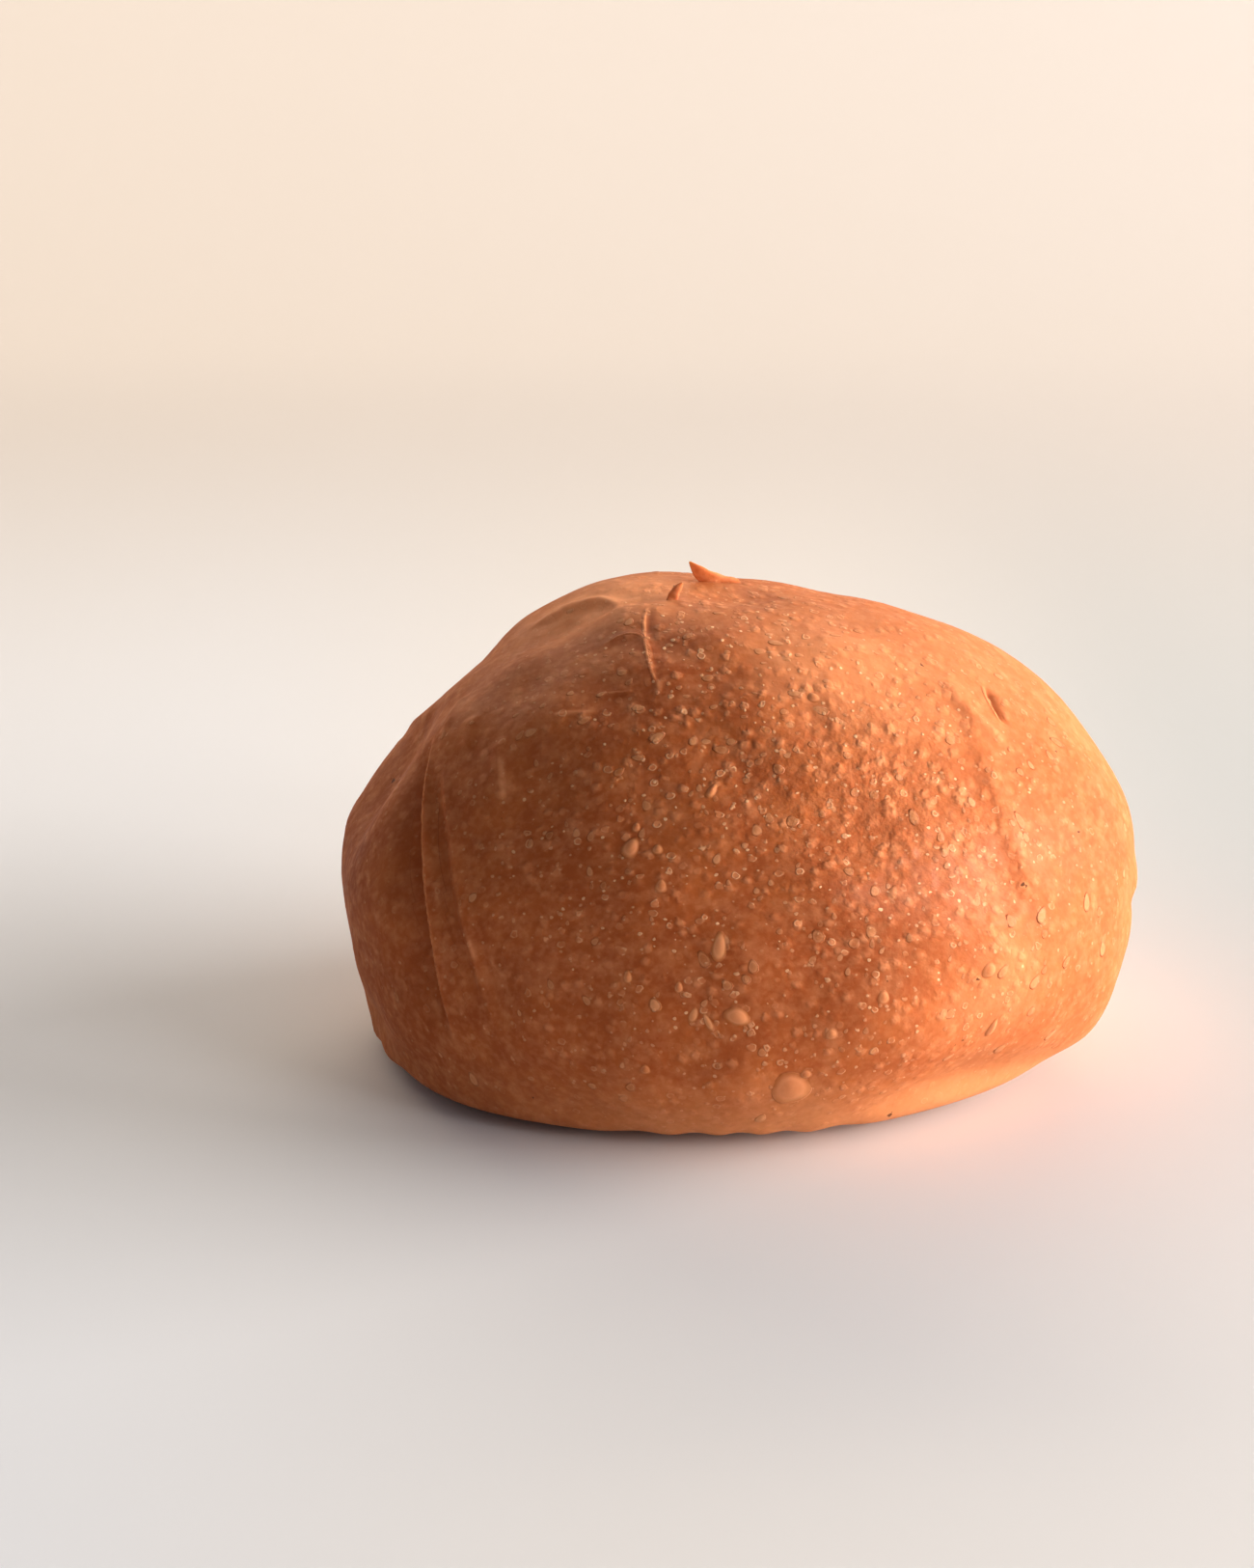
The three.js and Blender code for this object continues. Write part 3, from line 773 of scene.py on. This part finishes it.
# Blisters that stand at known places: azimuth and polar angle in degrees, half width, half
# length and height in mm, turn from upright in degrees, and how pale it is
largeBlisters = {
    "pear": (-83, 106.5, 2.2, 2.6, 0.4, -20, 0.6),
    "lens": (-91, 94, 1.5, 1.1, 0.35, 20, 0.9),
    "upright": (-93, 84, 0.8, 1.7, 0.2, 5, 1.0),
    "upper": (-104, 71, 0.95, 1.25, 0.35, 20, 0.8),
    "right": (-54, 91, 1.0, 1.0, 0.3, 0, 0.7),
    "besideUpper": (-100, 71, 0.6, 0.6, 0.2, 0, 0.6),
    "underUpper": (-100, 76, 0.65, 0.8, 0.2, 0, 0.3),
    "hookLeft": (-97, 94, 0.5, 1.0, 0.12, 20, 0.8),
    "hookRight": (-95, 95, 0.4, 1.2, 0.12, -25, 1.0),
    "lowLeft": (-104, 103, 0.6, 0.7, 0.2, 0, 0.3),
    "leftRing": (-106, 89, 0.5, 0.8, 0.2, 0, 0.4),
    "lowRight": (-78, 97, 0.7, 0.8, 0.2, 0, 0.5),
    "middleRing": (-90, 62, 0.5, 1.1, 0.25, 30, 0.5),
    "longRight": (-51, 101, 0.6, 1.3, 0.25, 10, 0.7),
    "middle": (-99, 90, 0.5, 0.7, 0.2, 0, 0.5),
    "lowMiddle": (-81, 104, 0.7, 0.7, 0.2, 0, 0.4),
    "rightMiddle": (-71, 92, 0.7, 0.8, 0.2, 0, 0.5),
    "rightUpper": (-61, 46, 0.8, 0.9, 0.2, 0, 0.6),
    "leftUpper": (-103, 68, 0.5, 0.6, 0.2, 0, 0.5),
}


def makeLargeBlisters():
    ball = bmesh.new()
    bmesh.ops.create_uvsphere(ball, u_segments=28, v_segments=14, radius=1)
    template = np.array([vert.co[:] for vert in ball.verts])
    faces = [[vert.index for vert in face.verts] for face in ball.faces]
    ball.free()
    spots, rings, lucks, allFaces = [], [], [], []
    for azimuth, polar, wide, long, high, turn, pale in largeBlisters.values():
        nearby = np.array([[azimuth, polar], [azimuth + 1.5, polar], [azimuth, polar - 1.5]])
        place, east, north = onSkin(direction(nearby[:, 0], nearby[:, 1]))[0]
        out = unit(np.cross(east - place, north - place))
        up = unit(np.array([0, 0, 1]) - out * out[2])
        side = np.cross(up, out)
        c, s = math.cos(math.radians(turn)), math.sin(math.radians(turn))
        x, y, z = template.T
        x = x * wide * (1 - 0.25 * y)       # narrower at its upper end
        y = y * long
        z = z ** 3 * high                   # flat on top
        turned = np.outer(c * x + s * y, side) + np.outer(c * y - s * x, up)
        spots.append(place + turned + np.outer(z, out))
        rings.append(np.hypot(template[:, 0], template[:, 1]))
        lucks.append(np.full(len(x), pale))
        allFaces += [[i + len(template) * (len(spots) - 1) for i in face] for face in faces]
    mesh = bpy.data.meshes.new("largeBlisters")
    mesh.from_pydata((np.concatenate(spots) * mm).tolist(), [], allFaces)
    for name, values in (("rim", rings), ("luck", lucks)):
        flat = np.concatenate(values).astype(np.float32)
        mesh.attributes.new(name, "FLOAT", "POINT").data.foreach_set("value", flat)
    mesh.shade_smooth()
    mesh.materials.append(blisterSkin)
    obj = bpy.data.objects.new("largeBlisters", mesh)
    bpy.context.scene.collection.objects.link(obj)
    ofCrust(obj)


makeLargeBlisters()
print("large blisters placed")

# Torn flaps at the seam, in mm and degrees
flaps = {
    "large": {
        "root": (1.6, 13.5, 51.6), "bend": (-3.0, 9.6, 53.8), "tip": (-5.3, 8.6, 57.0),
        "wide": 2.1, "thick": 0.5, "roll": 70, "taper": 0.75,
    },
    "small": {
        "root": (-7.6, -0.9, 53.4), "bend": (-7.7, -0.4, 55.2), "tip": (-6.2, 0.6, 56.4),
        "wide": 0.8, "thick": 0.45, "roll": 40, "taper": 0.4,
    },
}


def makeFlap(name, size):
    ball = bmesh.new()
    bmesh.ops.create_uvsphere(ball, u_segments=32, v_segments=32, radius=1)
    start, bend, end = [Vector(size[k]) for k in ("root", "bend", "tip")]
    edges = np.array([vert.co.x ** 2 for vert in ball.verts])
    for vert in ball.verts:
        p = vert.co.copy()
        along = (p.z + 1) / 2
        middleLine = (1 - along) ** 2 * start + 2 * along * (1 - along) * bend + along ** 2 * end
        ahead = (2 * (1 - along) * (bend - start) + 2 * along * (end - bend)).normalized()
        across = ahead.cross(Vector((0, 0, 1))).normalized()
        across = Matrix.Rotation(math.radians(size["roll"]), 3, ahead) @ across
        out = across.cross(ahead)
        # Its edges are uneven, and curl to and fro
        jagged = 1 + 0.08 * math.sin(9 * along) + 0.05 * math.sin(23 * along + 2)
        narrow = (1 - size["taper"] * along) * jagged
        bent = 0.5 * math.sin(5 * along) * p.x * p.x
        sideways = across * p.x * size["wide"] * narrow
        outward = out * (p.y + bent) * size["thick"] * narrow
        vert.co = middleLine + sideways + outward
        vert.co = (vert.co - Vector((*bun["middle"], 0))) * mm
    bmesh.ops.recalc_face_normals(ball, faces=ball.faces)
    mesh = bpy.data.meshes.new(name)
    ball.to_mesh(mesh)
    ball.free()
    # Darker at its root, painted shade where it meets the skin, and paler towards its tip and edges
    height = np.array([vert.co.z for vert in mesh.vertices])
    bakeAndLight = 1.1 * (height - height.min()) / np.ptp(height) + 0.6 * edges - 0.9
    mesh.attributes.new("bakeAndLight", "FLOAT", "POINT").data.foreach_set("value", bakeAndLight.astype(np.float32))
    mesh.shade_smooth()
    mesh.materials.append(glazedCrust)
    flap = bpy.data.objects.new(name, mesh)
    bpy.context.scene.collection.objects.link(flap)
    ofCrust(flap)


for name, size in flaps.items():
    makeFlap(name + "Flap", size)
print("flaps made")

# A pale table that sweeps up behind, in metres
table = {
    "front": -1.2, "bend": 0.45, "round": 0.5, "high": 1.4, "half": 1.6, "steps": 24,
    # A painted cool shade on the floor left of the bun, and a painted shadow at the front right of its
    # foot
    "floor": (0.76, 0.76, 0.78), "leftFloorShade": (0.74, 0.78, 0.86), "rightFloorShadow": (0.54, 0.58, 0.62),
    "wall": (0.5, 0.48, 0.49),
    "leftTurn": (-0.09, 0),                # over which stretch across the colour turns
    "rightTurn": (0.01, 0.08),
    "rightBehind": (-0.08, 0.01),          # and front to back
    "wallTurn": (0.05, 0.4),
    "roughness": 0.8,
}


def makeTable():
    profile = [(table["front"], 0), (table["bend"], 0)]
    for i in range(1, table["steps"] + 1):
        turn = math.radians(90 * i / table["steps"])
        behind = table["bend"] + table["round"] * math.sin(turn)
        profile.append((behind, table["round"] * (1 - math.cos(turn))))
    profile.append((profile[-1][0], table["high"]))
    verts = [(x, y, z) for y, z in profile for x in (-table["half"], table["half"])]
    faces = [(2 * i, 2 * i + 1, 2 * i + 3, 2 * i + 2) for i in range(len(profile) - 1)]
    mesh = bpy.data.meshes.new("table")
    mesh.from_pydata(verts, [], faces)
    mesh.shade_smooth()
    material, n, shader = newMaterial("paleTable")
    spot = n.add("ShaderNodeTexCoord").outputs["Object"]
    across, behind, _ = n.split("ShaderNodeSeparateXYZ", "Vector", spot)
    # Painted cool shade to the left, painted shadow at the front right of the foot, then the wall
    colour = n.blend(n.step(across, *table["leftTurn"]), table["leftFloorShade"], table["floor"])
    right = n.times(n.step(across, *table["rightTurn"]), n.step(behind, *table["rightBehind"]))
    colour = n.blend(right, colour, table["rightFloorShadow"])
    colour = n.blend(n.step(behind, *table["wallTurn"]), colour, table["wall"])
    n.fill(shader.inputs["Base Color"], colour)
    shader.inputs["Roughness"].default_value = table["roughness"]
    mesh.materials.append(material)
    obj = bpy.data.objects.new("table", mesh)
    bpy.context.scene.collection.objects.link(obj)


# Each light: place, width and height in metres, power in watts, colour
lights = {
    "window": ((1.2, 0.05, 0.24), 1.2, 0.6, 47, (1.0, 0.93, 0.85)),
    "frontWindow": ((0.83, -0.78, 0.45), 0.35, 0.35, 4, (1.0, 0.95, 0.9)),
    "backWindow": ((-0.12, 0.85, 0.42), 1.2, 0.35, 8, (1.0, 0.8, 0.55)),
}
sky = {"colour": (0.95, 0.97, 1.0), "strength": 0.2}


def makeLights():
    for name, (place, wide, high, power, colour) in lights.items():
        data = bpy.data.lights.new(name, "AREA")
        data.shape = "RECTANGLE"
        data.size, data.size_y = wide, high
        data.energy = power
        data.color = colour
        light = bpy.data.objects.new(name, data)
        light.location = place
        light.rotation_euler = (Vector((0, 0, 0.02)) - Vector(place)).to_track_quat("-Z", "Y").to_euler()
        bpy.context.scene.collection.objects.link(light)
    world = bpy.data.worlds.new("room")
    world.use_nodes = True
    world.node_tree.nodes["Background"].inputs["Color"].default_value = (*sky["colour"], 1)
    world.node_tree.nodes["Background"].inputs["Strength"].default_value = sky["strength"]
    bpy.context.scene.world = world
    bpy.context.scene.view_settings.view_transform = "Standard"


makeTable()
makeLights()
print("table and lights placed")
